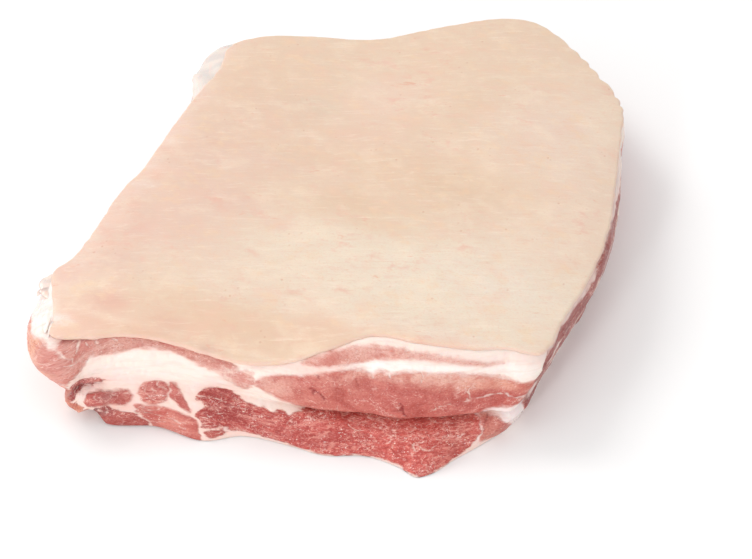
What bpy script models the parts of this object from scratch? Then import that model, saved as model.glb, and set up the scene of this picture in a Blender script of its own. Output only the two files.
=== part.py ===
"""A raw slab of pork belly, boned, lying rind side up, modelled as the one solid that it is.

Run it with: blender --background --python part.py

The slab is a stack of closed rings that run round it: out from the middle of the rind, over the rind's rim,
down the cut faces and in across the underside. The front is the end that was cut across the muscles. Its
face has an upper tier that swells, a crease under it, and a lower muscle that sticks out like a tongue.
+Y runs along the slab, away from that end, and +Z is up. Lengths in the tables are millimetres.
"""

import bmesh
import bpy
import numpy as np

MM = 0.001

# The front end, from its left corner to its right one. Each station holds three points of the face as
# (x, y, height): the rind's lower edge, the crease and the foot. Then come three amounts: how far the
# upper tier swells, how deep the crease goes in, and how far the meat is drawn back under the rind.
FRONT = [
    ((-127, -193, 50), (-122, -204, 20), (-123, -201, 8), 15, 5, 1),
    ((-108, -190, 51), (-110, -201, 24), (-113, -208, 7), 6, 4, 2),
    ((-87, -182, 52), (-90, -195, 28), (-94, -206, 1), 2, 1, 4),
    ((-65, -178, 50), (-65, -187, 28), (-67, -199, 1), 2, 1, 4),
    ((-43, -177, 47), (-44, -182, 26), (-38, -200, 0), 3, 1, 4),
    ((-20, -175, 44), (-22, -178, 24), (-18, -190, 0), 3, 1, 3),
    ((3, -168, 45), (3, -177, 22), (8, -188, 0), 4, 3, 2),
    ((24, -156, 50), (28, -174, 20), (32, -189, 0), 6, 7, 1),
    ((46, -141, 54), (50, -169, 19), (55, -182, 0), 7, 9, 1),
    ((70, -138, 54), (74, -164, 19), (75, -184, 0), 7, 9, 1),
    ((96, -134, 53), (97, -155, 20), (94, -188, 0), 6, 8, 1),
    ((120, -127, 53), (117, -146, 22), (113, -158, 0), 4, 6, 1),
    ((141, -122, 52), (133, -140, 24), (128, -131, 0), 2, 4, 1),
]

# The other sides, on round the slab. Each station holds the rind's edge as (x, y, height), then how far
# the face swells under the rind and how far its foot is drawn in.
SIDES = [
    ((146, -92, 52), 4, 14),
    ((153, -50, 51), 5, 11),
    ((155, -10, 51), 5, 10),
    ((151, 35, 51), 5, 8),
    ((145, 80, 51), 3, 8),
    ((141, 112, 52), 2, 9),
    ((131, 133, 52), 2, 9),
    ((112, 156, 52), 3, 9),
    ((90, 181, 51), 3, 9),
    ((60, 204, 51), 3, 9),
    ((30, 199, 52), 3, 9),
    ((-10, 174, 51), 4, 9),
    ((-46, 149, 50), 4, 9),
    ((-85, 140, 50), 4, 10),
    ((-124, 128, 50), 6, 10),
    ((-143, 108, 50), 15, 8),
    ((-139, 78, 51), 21, 6),
    ((-142, 45, 51), 6, 8),
    ((-143, 5, 51), 4, 9),
    ((-143, -38, 51), 4, 9),
    ((-147, -66, 51), 4, 9),
    ((-146, -100, 51), 4, 9),
    ((-147, -130, 51), 6, 9),
    ((-153, -146, 50), 4, 12),
    ((-141, -170, 50), 18, 16),
]
SIDE_TUCK = 1
SIDE_CREASE_DEPTH = 1.5
# The crease wanders up and down along the sides, once for about every three stations.
SIDE_CREASE_HEIGHT = 24
SIDE_CREASE_WAVE = 3
# How much of the foot's inset the crease already has.
SIDE_CREASE_SHARE = 0.3

# The back right corner was taken off with a knife, in short strokes that left scallops along the edge.
KNIFE_CUT = (5.0, 8.6)
KNIFE_STROKES = 7
SCALLOP_DEPTH = 2.5

RIND_THICKNESS = 3
RIM_ROUNDING = 2
TOP_HEIGHT = 57
# Low hills and hollows of the rind: centre x and y, reach and height.
SWELLS = [(70, 60, 90, 3), (-70, 40, 80, -2), (30, -90, 70, 2), (-90, -120, 60, 1.5), (-40, 120, 60, -2.5)]

STEPS_FRONT = 5
STEPS_SIDES = 3
STEPS_STROKE = 4
TOP_RINGS = (0.18, 0.36, 0.54, 0.7, 0.84, 0.94)
# Rows of the face, as shares of the way from the rind to the crease, and from the crease to the foot.
UPPER_ROWS = (0.08, 0.2, 0.35, 0.52, 0.7, 0.86, 0.95)
LOWER_ROWS = (0.2, 0.45, 0.72, 0.92)
CREASE_HEIGHT = 4
LOWER_SWELL = 2.5
UP = np.array([0, 0, 1])


def outward(ring):
    """Unit vectors in plan that point out of a closed ring running anticlockwise."""
    along = np.roll(ring, -1, axis=0) - np.roll(ring, 1, axis=0)
    normal = np.stack([along[:, 1], -along[:, 0], np.zeros(len(along))], axis=1)
    return normal / np.linalg.norm(normal, axis=1, keepdims=True)


def closed_curve(points, q):
    """The smooth closed curve through the points, where q counts them (Catmull-Rom)."""
    i = np.floor(q).astype(int)
    t = (q - i)[:, None]
    a, b, c, d = (points[(i + k) % len(points)] for k in (-1, 0, 1, 2))
    return 0.5 * (2 * b + (c - a) * t + (2 * a - 5 * b + 4 * c - d) * t**2 + (3 * b - a - 3 * c + d) * t**3)


def scallops(sides):
    """How far the rind's edge stands out at each place along the sides, which count their stations."""
    start, end = KNIFE_CUT
    cut = np.clip((sides - start) / (end - start), 0, 1)
    return SCALLOP_DEPTH * (np.abs(np.sin(np.pi * KNIFE_STROKES * cut)) - 0.5) * np.sin(np.pi * cut) ** 0.3


def face_curves():
    """The slab's long curves and amounts, each with a row for every column of its faces."""
    edge = np.array([s[0] for s in FRONT + SIDES], float)
    out = outward(edge)
    inset = np.array([s[2] for s in SIDES], float)[:, None]
    wander = SIDE_CREASE_HEIGHT + SIDE_CREASE_WAVE * np.sin(2 * np.arange(len(SIDES)))
    crease = np.array([s[1] for s in FRONT] + [(0, 0, height) for height in wander], float)
    foot = np.array([s[2] for s in FRONT] + [(0, 0, 0)] * len(SIDES), float)
    first = len(FRONT)
    crease[first:, :2] = (edge[first:] - SIDE_CREASE_SHARE * inset * out[first:])[:, :2]
    foot[first:, :2] = (edge[first:] - inset * out[first:])[:, :2]
    swell = np.array([s[3] for s in FRONT] + [s[1] for s in SIDES], float)[:, None]
    depth = np.array([s[4] for s in FRONT] + [SIDE_CREASE_DEPTH] * len(SIDES), float)[:, None]
    tuck = np.array([s[5] for s in FRONT] + [SIDE_TUCK] * len(SIDES), float)[:, None]

    front = np.arange(0, first - 1, 1 / STEPS_FRONT)
    sides = np.arange(first - 1, len(edge), 1 / STEPS_SIDES)
    knife = first + np.linspace(*KNIFE_CUT, STEPS_STROKE * KNIFE_STROKES, endpoint=False)
    sides = sides[(sides < knife[0]) | (sides > knife[-1])]
    q = np.sort(np.concatenate([front, sides, knife]))
    edge, crease, foot, swell, depth, tuck = (
        closed_curve(table, q) for table in (edge, crease, foot, swell, depth, tuck)
    )
    edge += scallops(q - first)[:, None] * outward(edge)
    foot[:, 2] = np.maximum(foot[:, 2], 0)
    return edge, crease, foot, swell, depth, tuck


def rind_height(ring):
    """Height of the rind away from its rim: level, with broad low swells."""
    z = np.full(len(ring), float(TOP_HEIGHT))
    for x, y, reach, height in SWELLS:
        z += height * np.exp(-((ring[:, 0] - x) ** 2 + (ring[:, 1] - y) ** 2) / reach**2)
    return z


def rows_between(top, bottom, shares, swell, skew):
    """Rings part of the way down a face, swollen along its own normal. A skew under 1 lifts the swelling."""
    along = np.roll(top + bottom, -1, axis=0) - np.roll(top + bottom, 1, axis=0)
    normal = np.cross(bottom - top, along)
    normal /= np.linalg.norm(normal, axis=1, keepdims=True)
    return [top + s * (bottom - top) + swell * np.sin(np.pi * s**skew) * normal for s in shares]


def rings():
    """All rings of the slab, each an array of points, from the rind to the underside, centred in plan."""
    edge, crease, foot, swell, depth, tuck = face_curves()
    out = outward(edge)
    rim = edge - RIM_ROUNDING * out + (RIND_THICKNESS - 0.6) * UP
    top = []
    for share in TOP_RINGS:
        ring = share * rim
        ring[:, 2] = share**8 * rim[:, 2] + (1 - share**8) * rind_height(ring)
        top.append(ring)
    over = edge - 0.3 * RIM_ROUNDING * out + (RIND_THICKNESS - 1.6) * UP
    under = edge - tuck * out - 1.5 * UP
    upper = rows_between(under, crease, UPPER_ROWS, swell, 0.75)
    notch = crease - depth * outward(crease) - 0.5 * CREASE_HEIGHT * UP
    shelf = crease - 0.5 * out - CREASE_HEIGHT * UP
    lower = rows_between(shelf, foot, LOWER_ROWS, LOWER_SWELL, 1)
    sole = foot * (1 - (5 + 2.5 * foot[:, 2:]) / np.linalg.norm(foot[:, :2], axis=1, keepdims=True))
    sole[:, 2] = 0
    made = np.array(top + [rim, over, edge, under] + upper + [crease, notch, shelf] + lower + [foot, sole])
    middle = (made.min(axis=(0, 1)) + made.max(axis=(0, 1))) / 2
    return made - middle * (1, 1, 0)


def build_slab():
    """Joins the rings into one closed mesh, with a point in the middle of the rind and of the underside."""
    mesh = bmesh.new()
    loops = [[mesh.verts.new(point * MM) for point in ring] for ring in rings()]
    for upper, lower in zip(loops, loops[1:]):
        for i in range(len(upper)):
            mesh.faces.new((upper[i - 1], lower[i - 1], lower[i], upper[i]))
    top = mesh.verts.new((0, 0, rind_height(np.zeros((1, 2)))[0] * MM))
    bottom = mesh.verts.new((0, 0, 0))
    for i in range(len(loops[0])):
        mesh.faces.new((top, loops[0][i - 1], loops[0][i]))
        mesh.faces.new((bottom, loops[-1][i], loops[-1][i - 1]))
    data = bpy.data.meshes.new("pork_belly_slab")
    mesh.to_mesh(data)
    mesh.free()
    return data


def meat_material():
    """Pale rind and fat with a pink cast, a little wet."""
    material = bpy.data.materials.new("raw_pork")
    material.use_nodes = True
    shader = material.node_tree.nodes["Principled BSDF"]
    shader.inputs["Base Color"].default_value = (0.82, 0.5, 0.42, 1)
    shader.inputs["Roughness"].default_value = 0.45
    return material


def main():
    for old in list(bpy.data.objects):
        bpy.data.objects.remove(old)
    slab = bpy.data.objects.new("pork_belly_slab", build_slab())
    slab.data.materials.append(meat_material())
    slab.data.shade_smooth()
    bpy.context.scene.collection.objects.link(slab)


main()
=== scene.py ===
# %% [markdown]
# # A raw slab of pork belly
# The real thing is a side of pork with the ribs taken out, laid with its skin up. One end has been sawn
# and sliced square, so its layers show: skin, fat, thin lean, fat, thick lean and a long lower muscle.
# This script dresses the slab's plain solid in two surfaces, the rind on top and the meat under it.
# Both are worked out with numpy from the same few curves that run round the slab.

# %% Load the frame
from itertools import product

import bpy
import numpy as np
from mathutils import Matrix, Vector


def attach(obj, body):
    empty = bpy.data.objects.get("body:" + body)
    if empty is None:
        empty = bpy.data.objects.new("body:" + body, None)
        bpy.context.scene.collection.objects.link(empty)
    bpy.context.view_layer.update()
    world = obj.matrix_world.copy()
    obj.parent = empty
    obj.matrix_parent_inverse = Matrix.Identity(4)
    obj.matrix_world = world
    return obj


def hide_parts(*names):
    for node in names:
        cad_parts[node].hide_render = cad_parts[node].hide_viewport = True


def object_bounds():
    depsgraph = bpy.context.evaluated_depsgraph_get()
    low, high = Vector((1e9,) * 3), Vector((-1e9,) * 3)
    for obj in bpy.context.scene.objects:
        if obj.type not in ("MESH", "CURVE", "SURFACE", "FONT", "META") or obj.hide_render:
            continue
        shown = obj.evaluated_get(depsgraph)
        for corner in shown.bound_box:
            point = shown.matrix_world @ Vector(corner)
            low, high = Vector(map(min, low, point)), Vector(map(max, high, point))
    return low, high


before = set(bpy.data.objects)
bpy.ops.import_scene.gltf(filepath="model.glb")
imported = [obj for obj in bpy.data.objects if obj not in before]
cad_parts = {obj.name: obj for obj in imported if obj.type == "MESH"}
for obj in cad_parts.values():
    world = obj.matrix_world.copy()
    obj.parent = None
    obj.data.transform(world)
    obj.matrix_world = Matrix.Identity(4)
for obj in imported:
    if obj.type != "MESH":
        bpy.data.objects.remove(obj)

MM = 0.001
NODE = "pork_belly_slab"
cad_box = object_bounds()
HALF = np.array(cad_box[1]) / MM - 0.05  # the highest corner, less a hair: the box is centred in plan
print("the slab's box in metres:", cad_box)

# %% [markdown]
# ## Curves round the slab
# A cut of meat has no straight edges, but it isn't shapeless either: its faces hang between a few long
# curves. They are the lower edge of the rind, the crease between the two tiers of meat, and the foot.
# Each is given by a point at every station round the slab, in millimetres, and a Catmull-Rom curve
# joins the points. Such a curve passes through its points, so a station can be moved by itself.

# %% The stations
# Front end, left to right: rind edge, crease and foot as (x, y, height), then the upper tier's swelling,
# the depth of the crease, and how far the meat is drawn back under the rind.
FRONT = [
    ((-127, -193, 50), (-122, -204, 20), (-123, -201, 8), 15, 5, 1),
    ((-108, -190, 51), (-110, -201, 24), (-113, -208, 7), 6, 4, 2),
    ((-87, -182, 52), (-90, -195, 28), (-94, -206, 1), 2, 1, 4),
    ((-65, -178, 50), (-65, -187, 28), (-67, -199, 1), 2, 1, 4),
    ((-43, -177, 47), (-44, -182, 26), (-38, -200, 0), 3, 1, 4),
    ((-20, -175, 44), (-22, -178, 24), (-18, -190, 0), 3, 1, 3),
    ((3, -168, 45), (3, -177, 22), (8, -188, 0), 4, 3, 2),
    ((24, -156, 50), (28, -174, 20), (32, -189, 0), 6, 7, 0.6),
    ((46, -141, 54), (50, -169, 18.4), (55, -182, 0), 7, 9, 0.3),
    ((70, -138, 54), (74, -164, 17.2), (75, -184, 0), 7, 9, 0.3),
    ((96, -134, 53), (97, -155, 17.8), (94, -188, 0), 6, 8, 0.3),
    ((120, -127, 53), (117, -146, 20), (113, -158, 0), 4, 6, 0.3),
    ((141, -122, 52), (133, -140, 24), (128, -131, 0), 2, 4, 0.3),
]
# The other sides, on round the slab: rind edge, then the face's swelling and how far its foot is drawn in.
SIDES = [
    ((146, -92, 52), 4, 14), ((153, -50, 51), 5, 11), ((155, -10, 51), 5, 10), ((151, 35, 51), 5, 8),
    ((145, 80, 51), 3, 8), ((141, 112, 52), 2, 9), ((131, 133, 52), 2, 9), ((112, 156, 52), 3, 9),
    ((90, 181, 51), 3, 9), ((60, 204, 51), 3, 9), ((30, 199, 52), 3, 9), ((-10, 174, 51), 4, 9),
    ((-46, 149, 50), 4, 9), ((-85, 140, 50), 4, 10), ((-124, 128, 50), 6, 10), ((-143, 108, 50), 18, 8),
    ((-139, 78, 51), 21, 6), ((-142, 45, 51), 6, 8), ((-143, 5, 51), 4, 9), ((-143, -38, 51), 4, 9),
    ((-147, -66, 51), 4, 9), ((-146, -100, 51), 4, 9), ((-147, -130, 51), 6, 9), ((-153, -146, 50), 4, 12),
    ((-141, -170, 50), 18, 16),
]
SIDE_CREASE = (24, 3, 0.3)      # height, wander and share of the foot's inset
SIDE_CREASE_DEPTH, SIDE_TUCK = 1.5, 0.5
KNIFE_CUT, KNIFE_STROKES, SCALLOP = (5.0, 8.6), 7, 2.0  # between these stations, with strokes this deep
# Bell-shaped changes along the cut end, as (place, reach, amount) in millimetres round the rind.
FOOT_TRIMS = [(236, 9, 3.5), (249, 8, 3.0)]  # where the knife took more off the foot
FOOT_PULL, CREASE_PULL = (4, 14, 3), (2, 12, 2)  # how far the front left corner is drawn to the right
FLAT_TIER = (250, 14, 1.8)  # where the lower tier swells less than its usual amount
LOWER_SWELL = 2.5
FOOT_LIFT, LIFT_RISES, LIFT_FALLS = 8.5, (19, 31), (41, 35)  # where the foot is cut away underneath
SHIFT = np.array([0.6, 2.3, 0])  # brings the curves onto the centre of the slab's box
UP = np.array([0, 0, 1.0])
CORNERS = len(FRONT)
STATIONS = len(FRONT) + len(SIDES)
print(CORNERS, "stations on the cut end, and", len(SIDES), "round the other sides")

# %% [markdown]
# ## From stations to curves
# Everything else is measured along the rind's edge, so its length is worked out first: the curve is cut
# into many short chords, and they are added up. Then any place round the slab, in millimetres, can be
# turned into a place among the stations.

# %% Curves through the stations
def bell(x, centre, reach, power=2):
    """1 at the centre, and exp(-(distance / reach)^power) away from it."""
    return np.exp(-(((x - centre) / reach) ** power))


def outward(ring):
    """Unit vectors in plan that point out of a closed ring running anticlockwise: each chord turned right."""
    along = np.roll(ring, -1, axis=0) - np.roll(ring, 1, axis=0)
    turned = np.stack([along[:, 1], -along[:, 0], np.zeros(len(along))], axis=1)
    return turned / np.linalg.norm(turned, axis=1, keepdims=True)


def closed_curve(points, q):
    """The Catmull-Rom curve through the points: a cubic of four neighbours for every stretch of q."""
    i = np.floor(q).astype(int)
    t = (q - i)[:, None]
    a, b, c, d = (points[(i + k) % len(points)] for k in (-1, 0, 1, 2))
    return 0.5 * (2 * b + (c - a) * t + (2 * a - 5 * b + 4 * c - d) * t**2 + (3 * b - a - 3 * c + d) * t**3)


def station_tables():
    """Rind edge, crease, foot, swelling, crease depth and tuck, one row for every station."""
    edge = np.array([s[0] for s in FRONT + SIDES], float)
    out = outward(edge)
    inset = np.array([s[2] for s in SIDES], float)[:, None]
    height, wander, share = SIDE_CREASE
    waves = height + wander * np.sin(2 * np.arange(len(SIDES)))
    crease = np.array([s[1] for s in FRONT] + [(0, 0, z) for z in waves], float)
    foot = np.array([s[2] for s in FRONT] + [(0, 0, 0)] * len(SIDES), float)
    crease[CORNERS:, :2] = (edge[CORNERS:] - share * inset * out[CORNERS:])[:, :2]
    foot[CORNERS:, :2] = (edge[CORNERS:] - inset * out[CORNERS:])[:, :2]
    amounts = [[s[3] for s in FRONT] + [s[1] for s in SIDES],
               [s[4] for s in FRONT] + [SIDE_CREASE_DEPTH] * len(SIDES),
               [s[5] for s in FRONT] + [SIDE_TUCK] * len(SIDES)]
    return [edge + SHIFT, crease + SHIFT, foot + SHIFT] + [np.array(a, float)[:, None] for a in amounts]


TABLES = station_tables()
q_fine = np.linspace(0, STATIONS, 40 * STATIONS + 1)
steps = np.linalg.norm(np.diff(closed_curve(TABLES[0], q_fine)[:, :2], axis=0), axis=1)
run_fine = np.concatenate([[0], np.cumsum(steps)])
ROUND = run_fine[-1]
FRONT_END = np.interp(CORNERS - 1, q_fine, run_fine)
print(f"{ROUND:.0f} mm round the rind, of which the cut end takes {FRONT_END:.0f} mm")

# %% [markdown]
# ## Uneven as meat
# Nothing on the slab repeats, so the relief and the edges between layers need smooth chance. One helper
# gives it: random values on a lattice, blended smoothly in between. Stretching the lattice one way turns
# clouds into fibres. A fixed seed makes the slab come out the same each time.

# %% Smooth chance
def cloud(places, cell, seed, around=False):
    """Noise of about -1 to 1 at places of one to three coordinates: hashed values at the corners of the
    lattice cell round each place, blended with the smooth weight 3t^2 - 2t^3. With around, the first
    coordinate runs round the slab, and a whole number of cells closes the pattern on itself."""
    table = np.random.default_rng(seed).uniform(-1, 1, 65536)
    cell = np.array(cell, float)
    cells_round = max(1, round(ROUND / cell[0])) if around else 2**40
    cell[0] = ROUND / cells_round if around else cell[0]
    scaled = places / cell
    low = np.floor(scaled).astype(np.int64)
    t = scaled - low
    t = t * t * (3 - 2 * t)
    total = np.zeros(places.shape[:-1])
    for corner in product((0, 1), repeat=places.shape[-1]):
        key = np.zeros(places.shape[:-1], np.int64)
        weight = np.ones(places.shape[:-1])
        for axis, step in enumerate(corner):
            index = low[..., axis] + step
            index = index % cells_round if axis == 0 else index
            key = (key * 7919 + index * 104729) % 65536
            weight = weight * (t[..., axis] if step else 1 - t[..., axis])
        total += weight * table[key]
    return total


def smooth_step(low, high, x):
    """0 below low, 1 above high, and an S-shaped rise of 3t^2 - 2t^3 between."""
    t = np.clip((x - low) / (high - low), 0, 1)
    return t * t * (3 - 2 * t)


trial = cloud(np.stack(np.meshgrid(*[np.arange(0, 40, 0.7)] * 2), axis=-1), (3, 3), 0)
print(f"chance runs from {trial.min():.2f} to {trial.max():.2f}, and is {trial.mean():.2f} on average")

# %% [markdown]
# ## Columns round the slab
# The faces are built in columns. They stand close together on the cut end, where the layers need them,
# and apart elsewhere. At each column the three curves are read, and then changed a little where the real
# slab was trimmed: the knife's strokes scallop the back right edge, and the foot is cut away in places.

# %% Curves at the columns
def column_places(fine, coarse, margin):
    """Places round the slab with the given spacings, fine along the cut end and a margin past its corners."""
    front = np.arange(-margin, FRONT_END + margin, fine)
    rest = np.linspace(front[-1] + fine, ROUND - margin, int((ROUND - FRONT_END) / coarse), endpoint=False)
    return np.concatenate([front, rest])


def counted_from_corner(run):
    """Places past the half-way point belong to the left side, and count backwards from the left corner."""
    return np.where(run > (ROUND + FRONT_END) / 2, run - ROUND, run)


def at_columns(run):
    """Every table's curve, read at these places round the slab."""
    q = np.interp(np.mod(run, ROUND), run_fine, q_fine)
    edge, crease, foot, swell, depth, tuck = (closed_curve(table, q) for table in TABLES)
    out = outward(edge)
    start, end = KNIFE_CUT
    cut = np.clip((q - CORNERS - start) / (end - start), 0, 1)
    uneven = cut + 0.05 * np.sin(9 * cut) * np.sin(np.pi * cut)
    stroke = (np.abs(np.sin(np.pi * KNIFE_STROKES * uneven)) - 0.5) * np.sin(np.pi * cut) ** 0.3
    edge += SCALLOP * stroke[:, None] * out
    place = counted_from_corner(run)
    foot[:, 2] += FOOT_LIFT * smooth_step(*LIFT_RISES, place) * smooth_step(*LIFT_FALLS, place)
    for curve, (centre, reach, amount) in ((foot, FOOT_PULL), (crease, CREASE_PULL)):
        curve[:, 0] += amount * bell(place, centre, reach)
    for centre, reach, amount in FOOT_TRIMS:
        foot -= amount * bell(place, centre, reach)[:, None] * out
    foot[:, 2] = np.maximum(foot[:, 2], 0)
    return edge, crease, foot, swell, depth, tuck


FACE_MARGIN = 45
face_run = column_places(fine=0.6, coarse=3.8, margin=FACE_MARGIN)
print(len(face_run), "columns round the faces")

# %% [markdown]
# ## The cut faces
# A face is a function of two parameters: how far round the slab, in millimetres along the rind's edge,
# and how far down, from 0 at the rind through 1 at the crease to 2 at the foot. Straight lines join the
# three curves, and each tier then swells along its own normal by half a sine wave. The crease is a dip.

# %% The faces as a grid of points
INTO_RIND = 0.4  # how far the meat's top edge reaches up behind the lip of the rind
DIP_AT, DIP_REACH = 1.5, (1.6, 2.6)  # the crease's dip lies a little under it, and is shorter above


def face_normals(points):
    """Unit normals of a grid that closes on itself along its columns: across one way times the other."""
    down = np.gradient(points, axis=0)
    along = np.roll(points, -1, axis=1) - np.roll(points, 1, axis=1)
    normal = np.cross(down, along)
    return normal / np.maximum(np.linalg.norm(normal, axis=2, keepdims=True), 1e-9)


def cut_faces(run, rows):
    """Points of the faces: straight from under the rind to the crease and on to the foot, plus the
    swelling sin(pi * down^0.75) along the normal, minus the crease's bell-shaped dip."""
    edge, crease, foot, swell, depth, tuck = at_columns(run)
    out = outward(edge)
    under = edge - tuck * out + INTO_RIND * UP
    down = rows[:, None, None]
    upper, lower = np.clip(down, 0, 1), np.clip(down - 1, 0, 1)
    straight = under + upper * (crease - under) + lower * (foot - crease)
    tiers = []
    for top, bottom in ((under, crease), (crease, foot)):
        along = np.roll(top + bottom, -1, axis=0) - np.roll(top + bottom, 1, axis=0)
        normal = np.cross(bottom - top, along)
        tiers.append(normal / np.linalg.norm(normal, axis=1, keepdims=True))
    centre, reach, amount = FLAT_TIER
    bulge = LOWER_SWELL - amount * bell(run, centre, reach)[:, None]
    swollen = swell * np.sin(np.pi * upper**0.75) * tiers[0] + bulge * np.sin(np.pi * lower) * tiers[1]
    tall = np.linalg.norm(crease - under, axis=1)[:, None], np.linalg.norm(foot - crease, axis=1)[:, None]
    below = (down - 1) * np.where(down > 1, tall[1], tall[0])
    dip = depth * bell(below, DIP_AT, np.where(below < DIP_AT, *DIP_REACH))
    return straight + swollen - dip * out, below[..., 0]


FACE_ROWS = np.concatenate([np.linspace(0, 0.85, 34), np.linspace(0.87, 1.25, 26), np.linspace(1.28, 2, 30)])
face, below_crease = cut_faces(face_run, FACE_ROWS)
face_out = face_normals(face)
print("face grid:", face.shape[:2], "rows and columns")

# %% [markdown]
# ## Which muscle is where
# On the cut end each muscle shows as a closed shape with fat round it. The shapes are drawn on a map of
# the face: millimetres from the left corner, and height above the board. A few points make each outline.

# %% Outlines of the muscles
# name: (outline, colour of the flesh, how much it stands out, how much fat is flecked through it)
MUSCLES = {
    "outer lobe": (
        [(-60, 36), (-30, 43), (-14, 44), (-5, 47), (3, 50), (12, 56), (43, 58), (64, 56), (86, 53), (99, 47),
         (106, 41.5), (112, 39.5), (117, 38.5), (118, 33), (112, 28.5), (104, 32), (96, 37), (87, 39.8),
         (77, 42.2), (69, 44.6), (61, 46.4), (52, 46.2), (46, 45.4), (38, 44), (30, 43.8), (22, 44.2),
         (20, 40.5), (13.5, 37), (9, 31.5), (5.5, 25), (2, 12), (-30, 8), (-60, 14)],
        (229, 165, 151), 0.0, 0.5),
    "dark strip": (
        [(3, 16.4), (5.5, 21), (8.5, 25.2), (13, 27.8), (18, 28.8), (25, 29.5), (31, 29), (36, 27.2),
         (33, 25.8), (28.5, 24.8), (24.5, 23.2), (20.5, 22), (17, 20.6), (14, 18.6), (11.5, 16.6), (8, 15.6),
         (5, 15.4)],
        (176, 72, 72), 0.7, 0.9),
    "red knob": (
        [(26, 18.8), (27.5, 21.5), (30.2, 22.9), (34.5, 23.8), (37.8, 23), (44.2, 23.5), (48.5, 23.7),
         (50.5, 22), (50.8, 19), (49.2, 16.1), (45.8, 15.7), (40.5, 16.2), (36, 15.2), (33.2, 14.1),
         (28.5, 14.2), (26, 16.7)],
        (200, 92, 82), 0.9, 0.5),
    "orange tip": (
        [(1, 16), (4, 17), (7.5, 16), (11, 14.8), (14.5, 15.4), (18, 13.4), (21.5, 12.6), (25.5, 12.4),
         (26, 10.6), (22, 7), (14, 4), (6, 5), (1, 10)],
        (218, 134, 104), 0.4, 0.5),
    "eye": (
        [(53.4, 24.6), (54.8, 26.8), (58.5, 27.7), (62, 28), (65.6, 26.8), (67.9, 24.4), (68.3, 21.4),
         (67, 18.6), (63.4, 16.6), (59, 16.5), (55.6, 18.4), (53.6, 21.6)],
        (214, 124, 114), 0.8, 0.7),
    "eye's wedge": (
        [(67.6, 26.8), (69.6, 26.9), (73, 25), (77.6, 21), (81.8, 14.6), (77.4, 15.8), (72.6, 18.2),
         (69.4, 20.6), (68.8, 23.6)],
        (211, 116, 105), 0.8, 0.4),
    "pale muscle": (
        [(52.8, 15.2), (55, 16.2), (57.8, 15.6), (64.8, 15.4), (69.5, 15), (74.8, 14), (80, 12.8), (83, 11.2),
         (85, 8), (85.6, 3), (84, -2), (75, -3), (66, -3), (61.8, 1.5), (60.8, 5.4), (57.8, 7.6),
         (55.4, 10.4), (53.6, 13)],
        (218, 124, 110), 0.7, 0.5),
    "dark foot": (
        [(35.2, 12.5), (36.6, 14.5), (38.8, 14.9), (41, 13.8), (43.5, 12.4), (47.2, 10.9), (53.5, 9.6),
         (58.4, 6.4), (60.4, 4), (58, -1), (52, -3), (46, -3), (40, -2), (36, 3), (35, 9)],
        (184, 74, 62), 0.6, 0.5),
    "sliver": (
        [(88, 4), (91.2, 5.8), (96.4, 6.4), (102.4, 4.9), (98, 3.2), (91, 2.5)],
        (190, 84, 72), 0.3, 0.1),
    "long muscle": (
        [(85, 22), (88.5, 24.3), (94.5, 25.4), (102, 25.4), (106.8, 22.6), (113, 20.6), (118.8, 19.8),
         (124.5, 19.3), (127.5, 18), (135, 18.3), (139, 17.9), (144, 19), (148, 19.6), (152, 27), (200, 27),
         (246, 28), (250, 18.6), (255.5, 16.8), (259, 12.9), (258.8, 7.6), (255.6, 3.2), (248.8, 1.6),
         (242, 1), (237, 0.2), (231, -1), (224, 0.4), (199, 0.9), (185, 0.6), (162, 0.8), (144, 1.1),
         (122, 2.1), (109, 3.4), (100, 6.8), (91, 7.4), (86.5, 8), (86, 10), (83.5, 13), (85.5, 16.5),
         (89, 19), (85, 20.4)],
        (217, 93, 82), 0.0, 1.0),
    "thick lean": (
        [(118.8, 33.8), (121.5, 37.4), (126, 39.5), (132.5, 40.3), (142, 41.1), (152.5, 42.6), (160, 44.2),
         (167.5, 44.9), (182.5, 44.4), (187.2, 43), (192, 44.4), (198, 43.6), (204, 45.1), (216, 45.3),
         (234.5, 44.8), (245, 44.2), (258, 42.5), (270, 41.3), (281, 39.4), (300, 38), (300, 28.4),
         (284, 28), (276, 27), (268, 25.2), (258, 22.6), (250, 19), (202, 8), (170, 8), (152, 12), (144, 20),
         (139.2, 23.2), (132.5, 25.7), (124, 29)],
        (211, 112, 99), 0.0, 0.3),
    "thin lean": (
        [(143.5, 46), (150, 48.8), (160, 50.8), (172, 52.2), (183, 52.8), (197, 53.2), (213, 52.6),
         (228, 51.6), (244, 50.2), (254, 49.2), (262, 48.9), (252, 47.9), (240, 48.8), (228, 49.9),
         (214, 50.5), (202, 50.1), (190, 49), (176, 47.3), (162, 46.5), (150, 45.7)],
        (238, 184, 170), -0.5, 0.3),
    "tail": (
        [(255.4, 17.4), (262, 17.2), (270, 16.8), (276, 13.8), (279, 10.6), (278, 4.6), (274, 2.4),
         (268, 3.4), (261.6, 4), (260.4, 10), (260, 13.6)],
        (210, 124, 108), 0.3, 0.4),
}


print(len(MUSCLES), "muscles on the cut end")

# %% [markdown]
# ## Distances instead of paint
# From an outline comes a signed distance, in millimetres, positive inside. Distances are better than
# painted colours: one number gives the ragged border, the raised flesh and the colour of the muscle.

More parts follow.
